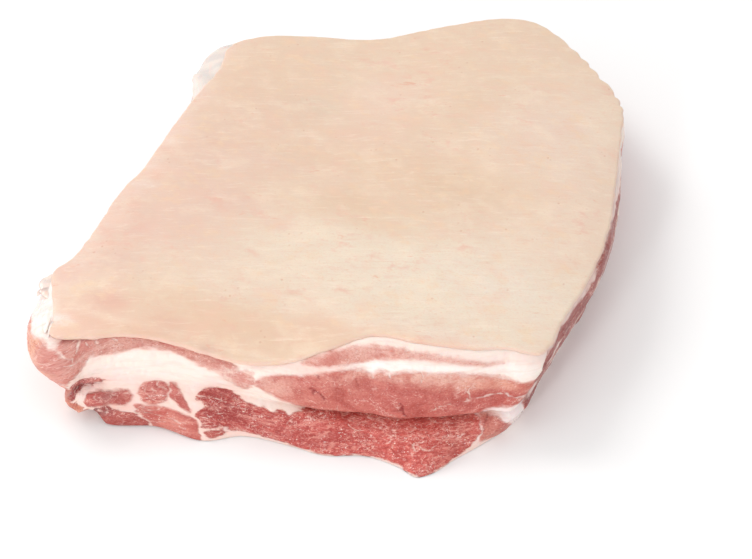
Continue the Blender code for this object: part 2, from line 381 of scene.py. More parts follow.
# %% Distances and the map of the face
def signed_distance(places, outline, smooth=6):
    """Distance from each place to a smooth closed outline, positive inside: the least distance to its
    short straight pieces, with the sign from how often a level line to the right crosses them."""
    corners = closed_curve(np.array(outline, float), np.arange(0, len(outline), 1 / smooth))
    nearest = np.full(places.shape[:-1], 1e9)
    inside = np.zeros(places.shape[:-1], bool)
    for a, b in zip(corners, np.roll(corners, -1, axis=0)):
        side = b - a
        from_a = places - a
        share = np.clip(from_a @ side / max(side @ side, 1e-12), 0, 1)
        nearest = np.minimum(nearest, np.linalg.norm(from_a - share[..., None] * side, axis=-1))
        straddles = (a[1] > places[..., 1]) != (b[1] > places[..., 1])
        crossing = a[0] + (places[..., 1] - a[1]) / (b[1] - a[1] + 1e-12) * side[0]
        inside ^= straddles & (places[..., 0] < crossing)
    return np.where(inside, nearest, -nearest)


def line_distance(places, path):
    """Distance from each place to an open path of straight pieces."""
    nearest = np.full(places.shape[:-1], 1e9)
    for a, b in zip(np.array(path[:-1], float), np.array(path[1:], float)):
        share = np.clip((places - a) @ (b - a) / ((b - a) @ (b - a)), 0, 1)
        nearest = np.minimum(nearest, np.linalg.norm(places - a - share[..., None] * (b - a), axis=-1))
    return nearest


def linear(colour):
    """A colour written as 0 to 255 on screen, in the linear light that shaders use."""
    c = np.array(colour, float) / 255
    return np.where(c <= 0.04045, c / 12.92, ((c + 0.055) / 1.055) ** 2.4)


map_run = counted_from_corner(face_run)
face_map = np.stack(np.broadcast_arrays(map_run[None, :], face[..., 2]), axis=-1)
face_round = np.stack(np.broadcast_arrays(face_run[None, :], face[..., 2]), axis=-1)
on_front = face_run < FRONT_END + FACE_MARGIN + 1
print(f"the cut end and its margins have {np.sum(on_front)} of the columns")

# %% [markdown]
# ## Seams of gristle
# Inside the muscles run white seams, which are sheets of gristle seen edge-on. They are open paths on the
# same map. The muscles also differ in how softly they end, and in how far fat reaches into them.

# %% Seams and borders of the muscles
SEAMS = {
    "thick lean": [
        [(221.2, 22.6), (228, 25.5), (235, 27.2), (244.5, 29.4), (257.8, 31.9), (270.8, 33), (283, 31)],
        [(244.5, 29.4), (243, 33.9), (243.5, 37)], [(187.6, 46), (188.2, 40.5)], [(197.6, 46), (197, 41)],
        [(215, 47), (215.6, 40)], [(166.5, 25), (168, 19)]],
    "long muscle": [
        [(85, 21.9), (92.5, 21.5), (100.8, 19.9)], [(91.5, 13.7), (98.2, 14.5), (103, 15.5)],
        [(84, 12.6), (89.5, 12.3), (94.2, 11.5)], [(84, 9.4), (91.2, 9), (99.2, 7)],
        [(104.8, 17.2), (113, 16.8)], [(175.5, 15), (181.2, 12.9)],
        [(219.4, 9.6), (217.2, 10.6), (219, 11.8), (222, 11.2), (225, 10.2), (232, 10.4)]],
    "eye": [
        [(55.6, 27), (56.2, 23.6), (57.4, 20.6), (60.6, 18.9), (64, 18.6), (67.6, 20)],
        [(59.4, 24.8), (61.6, 23.8), (62.6, 21)], [(61.6, 26.8), (62.8, 25), (65.6, 24.4)]],
    "dark strip": [[(6, 20), (10, 21.4), (13, 25)], [(12, 19), (16, 23.4), (23, 26)], [(9, 17), (8, 22)]],
    "outer lobe": [
        [(14, 33), (20, 36.5), (21, 40)], [(-6, 24), (2, 26), (8, 30)], [(4, 49), (7.5, 48), (12, 45.2)],
        [(15.2, 51), (12.8, 49.3), (11, 47.6)], [(8, 44.4), (10.8, 43.6), (13.4, 44.4)],
        [(18.8, 50.4), (21.2, 49.1)], [(24.4, 51), (27, 49.6)], [(34, 50.4), (37, 49.4)]],
    "red knob": [
        [(43, 23.6), (44.4, 20), (42.6, 17)], [(38.6, 21.4), (44, 21.8), (49, 22.2)],
        [(31, 22.6), (33.4, 19)]],
    "pale muscle": [
        [(54, 13.4), (60, 12), (63, 13.4), (66, 15.6)], [(58, 10.2), (66, 9.6), (74, 8.2), (80, 9.2)],
        [(62, 5.2), (70, 6.4), (78, 5)]],
    "dark foot": [[(36.4, 12.6), (39, 10.6), (42.4, 12.2)], [(38, 14.4), (40, 11), (38.6, 8.4)]],
}
SEAM_WIDTH, NARROW_SEAM, SEAM_SLOPE = {"thick lean": 0.24, "outer lobe": 0.2}, 0.14, 2.4
# How far lean and fat run into one another, in millimetres: most muscles are crisp, these are not.
CRISP = 0.5
SOFTNESS = {"outer lobe": 1.3, "thick lean": 1.5, "thin lean": 0.9, "tail": 0.9, "orange tip": 0.8,
            "pale muscle": 0.7, "eye": 0.8, "eye's wedge": 0.7, "red knob": 1.1}
# How much of the fraying these small muscles get: they are wrapped in gristle, so they are nearly whole.
WRAPPED = {"eye": 0.55, "eye's wedge": 0.6, "red knob": 0.75, "dark strip": 0.8, "pale muscle": 0.7,
           "tail": 0.7, "thin lean": 0.6}
ROUNDED = 1.6  # how far inside its border a muscle reaches its full relief
CREASE_GAP, CREASE_STARTS = 0.2, 130  # half the gap at the crease, and where it begins to part the muscles
print(sum(len(paths) for paths in SEAMS.values()), "seams in", len(SEAMS), "muscles")

# %% [markdown]
# ## Ragged borders
# Muscle doesn't stop at a clean line: fat reaches in between its fibres. Before the distances are taken,
# the map is nudged by noise that is long along the face and short across it, so the borders come out
# feathered. A seam lowers the distance near its path.

# %% Distances on the face
def mixed_by_depth(distances, traits):
    """Traits of overlapping shapes, each weighed by exp(1.5 * its distance), so the deepest one wins."""
    weights = [np.exp(np.clip(distance, -9, 9) * 1.5) for distance in distances]
    total = sum(weight[..., None] * np.array(trait) for weight, trait in zip(weights, traits))
    return total / (1e-9 + sum(weights))[..., None]


def on_whole_face(front, elsewhere):
    """Values of the cut end's columns, put in their place on the whole face."""
    whole = np.full(face_map.shape[:2] + front.shape[2:], float(elsewhere))
    whole[:, on_front] = front
    return whole


nudge = np.stack([
    1.4 * cloud(face_round, (5, 1.6), 1, True) + 0.5 * cloud(face_round, (1.8, 1), 2, True),
    0.7 * cloud(face_round, (6, 1.8), 3, True) + 0.3 * cloud(face_round, (2, 1), 4, True),
], axis=-1)
feathered = face_map + nudge
feathered_round = face_round + nudge
front_map = feathered[:, on_front]
smooth_map = face_map[:, on_front]
below = below_crease[:, on_front]
lean = np.full(front_map.shape[:2], -9.0)
stand_out = np.zeros(front_map.shape[:2])
distances, traits = [], []
for name, (outline, colour, raised, marbling) in MUSCLES.items():
    fraying, softness = WRAPPED.get(name, 1.0), SOFTNESS.get(name, CRISP)
    inside = signed_distance(smooth_map + fraying * (front_map - smooth_map), outline)
    if name == "thick lean":
        inside = np.minimum(inside, -below - CREASE_GAP)
    if name == "long muscle":
        parted = np.minimum(inside, below - CREASE_GAP)
        inside = np.where(front_map[..., 0] > CREASE_STARTS, parted, inside)
    distances.append(inside)
    traits.append([*linear(colour), marbling, softness, fraying])
    stand_out += raised * (1 - np.exp(-np.clip(inside, 0, None) / ROUNDED))
    for seam in SEAMS.get(name, []):
        off_seam = line_distance(front_map, seam) - SEAM_WIDTH.get(name, NARROW_SEAM)
        inside = np.minimum(inside, off_seam * SEAM_SLOPE * softness)
    lean = np.maximum(lean, inside)
traits = mixed_by_depth(distances, traits)
print(f"{np.mean(lean > 0):.0%} of the cut end is lean")

# %% [markdown]
# ## Layers on the other sides
# Round the sides the same layers run on as bands: a little fat under the rind, a thin lean, fat, the thick
# lean, a seam of fat and the long muscle over a pale skin. Each band has a top and a bottom height, and
# both wander slowly. At the corners the bands are blended into the cut end, distance into distance.

# %% Bands of the sides
# (top, bottom, colour, flecks), in millimetres above the board
BANDS = [
    (49.6, 43.6, (204, 116, 104), 0.4), (42.8, 35.6, (202, 102, 90), 0.5), (34.8, 25, (198, 96, 86), 0.6),
    (21.5, 2.5, (202, 88, 78), 0.7),
]
# For a band's top and its bottom: share of the sinking below, and noise as (amount, cell, first seed).
EDGE_WANDER = [(1, (1.6, 38, 20), (0.8, 11, 30)), (0.4, (2.0, 45, 40), (0.8, 13, 50))]
SUNK = (4.6, 2.4, 1.0, 0)  # how far each band's top sinks on the far sides, where the fat is thicker
FAR_STARTS, FAR_ENDS = (400, 500), (ROUND - 50, ROUND - 110)
CORNER_BLEND, LEFT_BLEND = (FRONT_END - 0.5, FRONT_END + 4), (25, 43)
SIDE_SOFTNESS = 0.9
# painted shade on the near part of the right side: its colour, and where it starts and ends
RIGHT_SIDE_SHADE, SHADE_STARTS, SHADE_ENDS = (208, 158, 152), (FRONT_END - 6, FRONT_END + 6), (520, 420)
# Thick fat covers the lean at the front left corner, and at the lump on the back left one.
# ((along, up), (reach along, reach up), how many millimetres of lean it takes away)
COVERS = [
    ((-29, 47.6), (17, 3.0), 14), ((-13, 51.6), (8, 1.2), 12), ((-52, 46), (24, 5.5), 10),
    ((-292, 43), (30, 10), 12),
]


def blended(front, side):
    """The cut end's values, and past the corners the sides' values."""
    share = to_side.reshape(to_side.shape + (1,) * (np.ndim(front) - 2))
    return (1 - share) * front + share * side


run_on_face, height = face_round[..., :1], feathered[..., 1]
far = smooth_step(*FAR_STARTS, run_on_face[..., 0]) * smooth_step(*FAR_ENDS, run_on_face[..., 0])
wander = (0.4 + far) * cloud(run_on_face, (74,), 110, True)
side_distances = []
for number, (top, bottom, colour, marbling) in enumerate(BANDS):
    edges = []
    for level, (sinks, slow, quick) in zip((top, bottom), EDGE_WANDER):
        edge_here = level - sinks * SUNK[number] * far + wander
        for amount, cell, seed in (slow, quick):
            edge_here = edge_here + amount * cloud(run_on_face, (cell,), seed + number, True)
        edges.append(edge_here)
    inside = np.minimum(edges[0] - height, height - edges[1])
    torn = smooth_step(0.25, 0.9, cloud(feathered_round, (30, 6), 54 + number, True))
    side_distances.append(inside - (0.8 + far) * torn)
side_lean = np.max(side_distances, axis=0)
side_traits = mixed_by_depth(side_distances, [[*linear(c), flecked] for _, _, c, flecked in BANDS])
# Painted shade: the near part of the right side, which faces away from the light, is made darker.
painted_side_shade = smooth_step(*SHADE_STARTS, map_run) * smooth_step(*SHADE_ENDS, map_run)
side_traits[..., :3] *= 1 - painted_side_shade[None, :, None] * (1 - linear(RIGHT_SIDE_SHADE))

to_side = np.maximum(smooth_step(*CORNER_BLEND, map_run), smooth_step(*LEFT_BLEND, -map_run))
to_side = np.broadcast_to(to_side[None, :], side_lean.shape)
fingers = 1.4 * cloud(face_round, (2.6, 12), 56, True) + 1.0 * cloud(face_round, (7, 12), 55, True)
covered = np.zeros(side_lean.shape)
for (along, up), (reach_along, reach_up), amount in COVERS:
    under = np.clip((up + fingers - face_map[..., 1]) / reach_up, 0, None)
    covered += amount * bell(face_map[..., 0], along, reach_along, 4) * np.exp(-(under**4))
face_lean = np.clip(blended(on_whole_face(lean, -9), side_lean) - covered, -6, 6)
face_flesh = blended(on_whole_face(traits[..., :3], 0), side_traits[..., :3])
face_flecks = blended(on_whole_face(traits[..., 3], 0), side_traits[..., 3])
face_soft = blended(on_whole_face(traits[..., 4], CRISP), SIDE_SOFTNESS)
face_frayed = on_whole_face(traits[..., 5], 1)
raised = on_whole_face(stand_out, 0)
print("bands blended in past", CORNER_BLEND, "mm")

# %% [markdown]
# ## Fat in its several whites
# Fat isn't one white. The thick lens at the left is creamy, the band over the thick lean is the brightest,
# the layer under the rind is rosy, and the wedge at the right corner is bluish, being mostly gristle.
# Each is a soft-edged spot on the same map, and the spots are mixed by their nearness.

# %% Fat colours on the face
# ((along, up), (reach along, reach up), colour, strength)
FATS = [
    ((60, 36), (45, 12), (250, 228, 218), 1), ((28, 34), (9, 3), (226, 208, 202), 1),
    ((215, 46.5), (60, 2.6), (254, 244, 238), 1), ((225, 52), (70, 3), (249, 232, 222), 1),
    ((125, 39), (16, 4), (248, 228, 218), 1), ((268, 20), (16, 7), (234, 220, 218), 1),
    ((266, 46), (16, 4), (244, 230, 222), 1), ((150, 1), (90, 3), (245, 212, 202), 1),
    ((60, 16), (26, 9), (240, 206, 195), 1), ((-30, 47), (30, 7), (242, 234, 228), 1),
    ((130, 20), (12, 3), (244, 226, 216), 1), ((44, 14.4), (6, 1.6), (226, 166, 154), 1),
    ((259, 17), (5, 4), (224, 164, 152), 1), ((36, 29), (16, 2.5), (238, 200, 192), 1),
    ((98, 16), (9, 12), (244, 206, 194), 1), ((152, 44.5), (14, 2), (244, 204, 192), 1),
    ((-294, 44), (30, 12), (228, 216, 206), 1), ((-294, 28), (34, 5), (236, 216, 204), 1),
    ((340, 52), (70, 4), (218, 188, 180), 1), ((52, 20), (1.6, 5), (240, 198, 188), 1),
    ((24, 21), (5, 3), (238, 214, 210), 1),
]
FAT_ELSEWHERE, ELSEWHERE_WEIGHT, GREYED_FAT = (244, 224, 210), 0.02, (206, 196, 192)


def spots_mixed(x, y, spots, pull_x=0, pull_y=0):
    """Soft spots of exp(-r^2), where r is the distance in reaches: their colours summed by nearness, and
    the nearness itself. The pulls shift x and y, by less where a spot's reach is under 12."""
    colours, weights = np.zeros(x.shape + (3,)), np.zeros(x.shape)
    for (centre_x, centre_y), (reach_x, reach_y), colour, strength in spots:
        pull = min(1, reach_y / 12)
        near = bell(x + pull * pull_x, centre_x, reach_x) * bell(y + pull * pull_y, centre_y, reach_y)
        colours += strength * near[..., None] * linear(colour)
        weights += strength * near
    return colours, weights


def toward(colours, goal, share):
    """Colours moved this share of the way to a goal."""
    return colours + share[..., None] * (goal - colours)


fat_sum, fat_weight = spots_mixed(face_map[..., 0], face_map[..., 1], FATS)
face_fat = (fat_sum + ELSEWHERE_WEIGHT * linear(FAT_ELSEWHERE)) / (fat_weight + ELSEWHERE_WEIGHT)[..., None]
lumpy = bell(map_run, -294, 34, 4)  # the lump on the back left corner
hanging = bell(map_run, -22, 22, 4) * smooth_step(38, 44, face[..., 2])  # the fat left of the front corner
greyed = 0.7 * lumpy * smooth_step(-0.1, 0.5, cloud(face_round, (5, 4), 67, True))
greyed += 0.3 * hanging * smooth_step(-0.2, 0.5, cloud(face_round, (2.2, 7), 53, True))
face_fat = toward(face_fat, linear(GREYED_FAT), greyed)
print(len(FATS), "whites in the fat")

# %% [markdown]
# ## Flesh in its several reds
# One muscle isn't one red either: it is pinker where fat lies thin over it, deep red where it is freshly cut,
# and darker where shade is painted under the rind's lip and in the gap under the lifted tip. More soft
# spots, laid over the muscles' own colours, do that.

# %% Flesh tints on the face
# ((along, up), (reach along, reach up), colour, strength)
FLESH_TINTS_AND_SHADE = [
    ((38.4, 20.6), (4.4, 3), (172, 98, 92), 1.0), ((27, 18), (2.4, 4), (216, 116, 104), 0.8),
    ((47.4, 19.6), (3, 4), (198, 112, 98), 0.8), ((30, 28), (6, 1.4), (212, 128, 116), 0.9),
    # painted shadow: the spot at (33, 11.4) darkens the gap under the lifted tip
    ((40, 11), (3, 3), (160, 62, 64), 0.9), ((33, 11.4), (4, 2.4), (120, 44, 40), 1.6),
    ((56, 12.6), (4, 4), (196, 106, 96), 0.9), ((78, 8), (9, 5), (226, 140, 124), 0.8),
    ((-16, 34), (10, 9), (234, 154, 124), 1.3), ((-22, 18), (12, 7), (224, 134, 110), 0.9),
    ((-5, 22), (8, 8), (224, 138, 118), 0.9), ((17, 43), (9, 6), (236, 180, 168), 1.1),
    ((8, 32), (9, 5), (222, 146, 134), 0.8), ((4, 43), (5, 7), (206, 124, 114), 0.8),
    ((-6, 42), (5, 5), (236, 176, 146), 1.6), ((-1, 36), (4, 5), (232, 168, 138), 1.2),
    # painted shade: the spots at (46, 48) and (82, 45) darken the outer lobe under the rind's lip
    ((46, 48), (18, 5), (220, 160, 146), 0.8), ((82, 45), (16, 4), (214, 144, 128), 0.8),
    ((107, 35), (13, 7), (250, 220, 208), 1.5), ((130, 33), (11, 7), (238, 180, 164), 1.0),
    ((144, 25), (7, 4), (236, 164, 148), 0.9), ((162, 33), (6, 7), (208, 112, 98), 0.7),
    ((54.6, 22), (2, 5), (228, 152, 138), 1.6), ((60, 17.2), (6, 1.3), (228, 152, 138), 1.6),
    ((168, 42.5), (13, 3.5), (238, 172, 156), 1.0), ((182, 37), (8, 3), (224, 146, 132), 0.6),
    ((208, 43), (22, 2.6), (240, 188, 170), 1.2), ((240, 43.4), (20, 3.4), (246, 198, 180), 1.3),
    ((262, 38.5), (24, 2.8), (242, 178, 154), 1.0), ((232, 39), (16, 2.2), (234, 168, 150), 0.9),
    ((206, 31), (14, 6), (200, 92, 82), 0.7), ((260, 31), (20, 4.5), (198, 84, 72), 0.9),
    ((172, 48), (16, 3), (228, 156, 140), 0.8), ((130, 12), (20, 6), (204, 92, 80), 0.4),
    ((225, 24), (24, 4), (200, 88, 78), 0.4), ((246, 12), (12, 10), (216, 126, 112), 0.5),
    ((98, 18), (14, 9), (178, 50, 44), 1.7), ((150, 8), (30, 6), (192, 70, 62), 0.5),
    ((118, 12), (20, 8), (190, 60, 52), 1.2),
]
TINT_FIRMNESS = 1.5
tint_sum, tint_weight = spots_mixed(feathered[..., 0], feathered[..., 1], FLESH_TINTS_AND_SHADE)
tint_weight *= 1 - to_side
tint = tint_sum * (1 - to_side)[..., None] / np.maximum(tint_weight, 1e-6)[..., None]
face_flesh = toward(face_flesh, tint, 1 - np.exp(-TINT_FIRMNESS * tint_weight))
print(len(FLESH_TINTS_AND_SHADE), "tints in the flesh")

# %% [markdown]
# ## Cracks and shade
# Cut meat splits along its seams as it stiffens, and light hardly reaches into the splits, under the lip
# of the rind or into the crease. Those places are multiplied by a deep red, as light between red walls is.

# %% Cracks and shade on the face
# (path, depth, width) of the cracks, in millimetres
CRACKS = [
    ([(150, 35.6), (153.2, 34), (155.2, 32.2), (157.2, 29.1)], 1.2, 0.7),
    ([(152, 31.4), (153.6, 34)], 1.1, 0.6), ([(152, 43.2), (153.4, 42)], 1.1, 0.8),
    ([(177, 41), (178, 36)], 0.6, 0.8),
    ([(204.4, 28.4), (206.8, 25.3), (206.2, 21.8), (209.8, 20)], 1.2, 0.7),
    ([(200, 23.4), (203.5, 23.8), (206.4, 24.6)], 0.9, 0.6), ([(30, 13.4), (34, 12.4), (37, 10)], 1.2, 1.1),
    ([(139, 41.6), (146, 42.6), (151, 43.6)], 0.6, 0.5), ([(260.6, 18), (261, 13), (259.6, 8)], 0.7, 0.7),
]
FLESH_LEVEL, CRACK_REACH = 0.93, 0.8
CRACK_SHADE, FLESH_SHADE, FAT_SHADE = (196, 56, 50), (168, 90, 82), (206, 160, 150)
ROSY_FAT, ROSY_SHARE, ROSY_REACH = (238, 186, 172), 0.42, 1.1  # fat takes colour from the flesh beside it


def shade(share, colour):
    """What a colour is multiplied by where this share of a shade lies on it."""
    return 1 - share[..., None] * (1 - linear(colour))


# Dark lines: under the rind's lip at the left of the cut end, and in and just over the crease at the right.
under_rind = bell(FACE_ROWS, 0, 0.05)[:, None] * smooth_step(-20, 5, map_run) * smooth_step(150, 120, map_run)
in_crease = 0.55 * bell(below_crease, 2.0, 1.0) + 0.4 * bell(below_crease, -0.5, 0.5)
in_crease *= smooth_step(120, 135, map_run) * smooth_step(262, 240, map_run)
in_crease *= 0.6 + 0.6 * cloud(face_round, (4, 2), 66, True)
shaded = np.clip(under_rind + in_crease, 0, 1)
cracked = sum(deep * bell(line_distance(front_map, path), 0, CRACK_REACH * wide)
              for path, deep, wide in CRACKS)
face_flesh[:, on_front] *= shade(np.clip(cracked, 0, 1), CRACK_SHADE)
face_flesh *= FLESH_LEVEL * shade(shaded, FLESH_SHADE)
face_fat *= shade(shaded, FAT_SHADE)
face_fat = toward(face_fat, linear(ROSY_FAT), ROSY_SHARE * np.exp(-np.clip(-face_lean, 0, None) / ROSY_REACH))
print(len(CRACKS), "cracks in the cut end")

# %% [markdown]
# ## Relief
# The flesh stands a little proud of the fat, since fat stiffens and flesh swells once cut. Fibres make
# fine ridges that run with the muscle. Cracks are narrow valleys along a path.

# %% Relief of the faces, in millimetres along the normal
BACK_FOLD = (-268, 10, 1.5)  # (place, reach, amount): a fold beside the lump at the back
CRACK_DEPTH = 0.4
fleshy = smooth_step(-0.4, 0.6, face_lean)
fibres = cloud(face_round, (7, 1.5), 60, True) + 0.5 * cloud(face_round, (3, 0.9), 61, True)
# (amount in millimetres, size of the noise's cells, its seed, where it applies)
ROUGHNESS = [
    (0.75, (17, 9), 62, smooth_step(0, 0.2, FACE_ROWS)[:, None]),  # all over, but not at the rind
    (0.22, (9, 1.4), 63, 1 - fleshy), (0.18, (1.7, 1.3), 64, 1),
    (1.1, (8, 7), 68, lumpy), (0.5, (3, 3), 69, lumpy),
    (1.2, (3.2, 11), 57, hanging), (0.5, (1.6, 6), 58, hanging),
    (1.2, (15, 9), 65, to_side * fleshy), (0.5, (6, 5), 59, to_side * fleshy),
]
relief = sum(amount * share * cloud(face_round, cell, seed, True) for amount, cell, seed, share in ROUGHNESS)
relief += raised * (1 - to_side) + fleshy * (0.12 + 0.36 * face_flecks) * fibres
centre, reach, amount = BACK_FOLD
relief += amount * bell(map_run, centre, reach) * smooth_step(20, 36, face[..., 2])
relief[:, on_front] -= CRACK_DEPTH * cracked
edge_fade = smooth_step(0, 0.06, FACE_ROWS) * (1 - 0.7 * smooth_step(1.9, 2, FACE_ROWS))
meat_face = face + face_out * (relief * edge_fade[:, None])[..., None]
meat_face[..., 2] = np.maximum(meat_face[..., 2], 0)
print(f"relief from {relief.min():.1f} to {relief.max():.1f} mm")

# %% [markdown]
# ## From a grid to a closed mesh
# The pieces are stacks of closed rings with a point at each end, like a globe's circles of latitude. The
# helpers number the corners of every cell in whole arrays, and make the mesh an object.

# %% Mesh helpers
def placed(name, mesh):
    """A smooth-shaded object made of the mesh, riding on the slab."""
    mesh.shade_smooth()
    piece = bpy.data.objects.new(name, mesh)
    bpy.context.scene.collection.objects.link(piece)
    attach(piece, "root")
    return piece


def grid_quads(rows, columns):
    """Corners of the cells between rings of points that close on themselves, running down then round."""
    i, j = (a.ravel() for a in np.meshgrid(np.arange(rows - 1), np.arange(columns), indexing="ij"))
    k = (j + 1) % columns
    return np.stack([i * columns + j, (i + 1) * columns + j, (i + 1) * columns + k, i * columns + k], axis=1)


def fan(pole, ring, turned=False):
    """Triangles from a pole to each stretch of a ring of points."""
    after = np.roll(ring, -1)
    return np.stack([np.full(len(ring), pole), *((after, ring) if turned else (ring, after))], axis=1)


def give_colours(mesh, name, colours):
    """Writes a linear colour on each point."""
    colours = np.concatenate([colours, np.ones((len(colours), 1))], axis=1)
    layer = mesh.attributes.new(name, "FLOAT_COLOR", "POINT")
    layer.data.foreach_set("color", colours.ravel().astype(np.float32))


print(len(grid_quads(3, 4)), "cells join 3 rings of 4 points")

# %% [markdown]
# ## A shell that closes on itself
# The map that textures use is written for each cell's corner by itself, so that it doesn't run backwards
# where the ring closes on itself.

# %% Closed shell
def closed_shell(name, rings, top, bottom, along, down, values):
    """A closed mesh from rings of points: cell (i, j) joins ring i and i + 1 at columns j and j + 1, and
    triangles join the first and last ring to the two poles. The UV map 'lay' holds along and down."""
    rows, columns = rings.shape[:2]
    points = np.concatenate([rings.reshape(-1, 3), [top, bottom]])
    points = np.clip(points, -HALF * (1, 1, 0), HALF) * MM
    quads = grid_quads(rows, columns)
    last = (rows - 1) * columns + np.arange(columns)
    fans = [fan(rows * columns, np.arange(columns)), fan(rows * columns + 1, last, turned=True)]
    mesh = bpy.data.meshes.new(name)
    mesh.from_pydata(points.tolist(), [], quads.tolist() + fans[0].tolist() + fans[1].tolist())
    corner = np.concatenate([quads.ravel(), fans[0].ravel(), fans[1].ravel()])
    flat = np.concatenate([np.stack([along, down], axis=-1).reshape(-1, 2), [[0, 0], [0, 0]]])[corner]
    closes = np.concatenate([np.repeat(quads[:, 0] % columns == columns - 1, 4), np.zeros(6 * columns, bool)])
    jumps = np.append(along[:, -1] - along[:, 0] > ROUND / 2, False)
    flat[:, 0] += ROUND * (closes & (corner % columns == 0) & jumps[corner // columns])
    mesh.uv_layers.new(name="lay").data.foreach_set("uv", (flat * MM).ravel().astype(np.float32))
    for key, value in values.items():
        poles = np.concatenate([value[0].mean(axis=0)[None], value[-1].mean(axis=0)[None]])
        value = np.concatenate([value.reshape((-1,) + value.shape[2:]), poles])
        if value.ndim == 2:
            give_colours(mesh, key, value)
        else:
            mesh.attributes.new(key, "FLOAT", "POINT").data.foreach_set("value", value.astype(np.float32))
    print(f"{name}: {len(points)} points, {2 * len(quads) + 2 * columns} triangles")
    return placed(name, mesh)


print("the shell's map closes after", round(ROUND, 1), "mm")

# %% [markdown]
# ## The meat
# The faces become a solid with a lid that hides under the rind and a sole that lies on the board. The
# sole is drawn in from the foot, because the meat's lower edge is rounded where it leaves the board.

# %% Build the meat
LID_SHARES, LID_TOP, LID_RISE = (0.55, 0.93), 51, 0.2
SOLE_SHARES = (0.97, 0.9, 0.75, 0.5, 0.25)
SOLE_INSET, RAISED_INSET = 4, 2.5  # how far the sole is drawn in, and more where the foot is off the board


def ring_toward_middle(ring, share, z):
    """A ring drawn in toward the slab's middle to this share of its size, at height z."""
    return np.stack([ring[:, 0] * share, ring[:, 1] * share, np.full(len(ring), float(z))], axis=1)


foot_ring = meat_face[-1]
inset = SOLE_INSET + RAISED_INSET * foot_ring[:, 2:]
sole_ring = foot_ring * (1 - inset / np.linalg.norm(foot_ring[:, :2], axis=1, keepdims=True))
sole_ring[:, 2] = 0
lid = [ring_toward_middle(meat_face[0], share, LID_TOP) for share in LID_SHARES]
lid[1][:, 2] = meat_face[0][:, 2] + LID_RISE
sole = [sole_ring] + [ring_toward_middle(sole_ring, share, 0) for share in SOLE_SHARES]
meat_rings = np.concatenate([lid, meat_face, sole])

face_down = np.cumsum(np.linalg.norm(np.diff(face, axis=0, prepend=face[:1]), axis=2), axis=0)
face_down -= face_down[np.argmin(np.abs(FACE_ROWS - 1))]  # measured from the crease, which fibres follow
face_along = np.broadcast_to(face_run, face_down.shape)
meat_along = np.concatenate([[face_run] * 2, face_along, [ring[:, 0] for ring in sole]])
meat_down = np.concatenate([[face_down[0]] * 2, face_down, [ring[:, 1] for ring in sole]])


def with_ends(value, sole_value):
    """The faces' values, with the lid's taken from the top row and one value or colour for the sole."""
    under = np.broadcast_to(sole_value, (len(sole),) + value.shape[1:])
    return np.concatenate([value[:1], value[:1], value, under])


# name: (value on the faces, value on the sole)
MEAT_VALUES = {
    "lean": (face_lean, 0.6), "softness": (face_soft, 0.9), "frayed": (face_frayed, 1.0),
    "flecks": (face_flecks, 0.6), "flesh": (face_flesh, linear((200, 120, 110))),
    "fat": (face_fat, linear((236, 205, 192))),
}
values = {name: with_ends(*pair) for name, pair in MEAT_VALUES.items()}
meat = closed_shell("meat", meat_rings, (0, 0, LID_TOP), (0, 0, 0), meat_along, meat_down, values)
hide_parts(NODE)

# %% [markdown]
# ## The rind
# Pork rind is skin a few millimetres thick, scraped and scalded, so it lies like damp leather over the
# fat. It is worked out from the same edge curve: rings that shrink from the rim toward the middle, lying
# on a surface with broad low swells, and at the rim a rounded lip that turns down to the cut edge.

# %% Build the rind
RIM_UP, LIP_LOW = 2.5, 0.6  # how far the rim and the foot of its lip stand over the rind's lower edge
TOP_HEIGHT = 56
LIP_ROUND, LEFT_LIP = 2.2, 2.0  # how far the lip is rounded, and how much more on the cut end's left half
TUCKS = ((0.25, 0), (1.2, -0.15), (6, 0.5))  # (in, up) of the rings that turn in under the lip
UNDERSIDE = ((0.9, 50), (0.45, 53))  # (share, height) of the rings that close it below
CORNER_OUT = (-4, 6, 2.6)  # (place, reach, amount): the front left corner stands out
# (x, y, reach, height) of the broad swells in the rind
SWELLS = [(70, 60, 90, 3), (-70, 40, 80, -2), (30, -90, 70, 2), (-90, -120, 60, 1.5), (-40, 120, 60, -2.5)]
rind_run = column_places(fine=1.3, coarse=2.6, margin=20)
rind_shares = np.concatenate([np.linspace(0.02, 0.86, 60), np.linspace(0.87, 1, 26)])
edge = at_columns(rind_run)[0]
rind_out = outward(edge)
left_half = smooth_step(0, 15, rind_run) * smooth_step(FRONT_END * 0.75, FRONT_END * 0.5, rind_run)
lip = (LIP_ROUND + LEFT_LIP * left_half)[:, None]


def rind_height(x, y):
    """Height of the rind: level, plus bell-shaped swells, plus a gentle unevenness of three sizes."""
    z = np.full(x.shape, float(TOP_HEIGHT))
    for centre_x, centre_y, reach, tall in SWELLS:
        z += tall * np.exp(-((x - centre_x) ** 2 + (y - centre_y) ** 2) / reach**2)
    places = np.stack([x, y], axis=-1)
    for amount, cell, seed in ((0.7, (42, 34), 70), (0.25, (16, 11), 71), (0.07, (6, 3), 72)):
        z = z + amount * cloud(places, cell, seed)
    return z


ragged = 0.5 * cloud(edge[:, :2], (5, 5), 73)[:, None]
centre, reach, amount = CORNER_OUT
corner = amount * bell(counted_from_corner(rind_run), centre, reach)[:, None]
edge = edge + (ragged + corner) * rind_out
rim = edge - lip * rind_out + RIM_UP * UP
top_rings = rind_shares[:, None, None] * rim[None]
over = rind_shares[:, None] ** 9
surface = rind_height(top_rings[..., 0], top_rings[..., 1])
top_rings[..., 2] = over * rim[None, :, 2] + (1 - over) * surface
turn = np.linspace(0, np.pi / 2, 6)[1:, None, None]
lip_up = LIP_LOW + (RIM_UP - LIP_LOW) * np.cos(turn)
lip_rings = edge - lip * (1 - np.sin(turn)) * rind_out + lip_up * UP
tucked = [edge - inward * rind_out + up * UP for inward, up in TUCKS]
closing = [ring_toward_middle(edge, share, height) for share, height in UNDERSIDE]
rind_rings = np.concatenate([top_rings, lip_rings, tucked, closing])
print("rind grid:", rind_rings.shape[:2], "rings and columns")
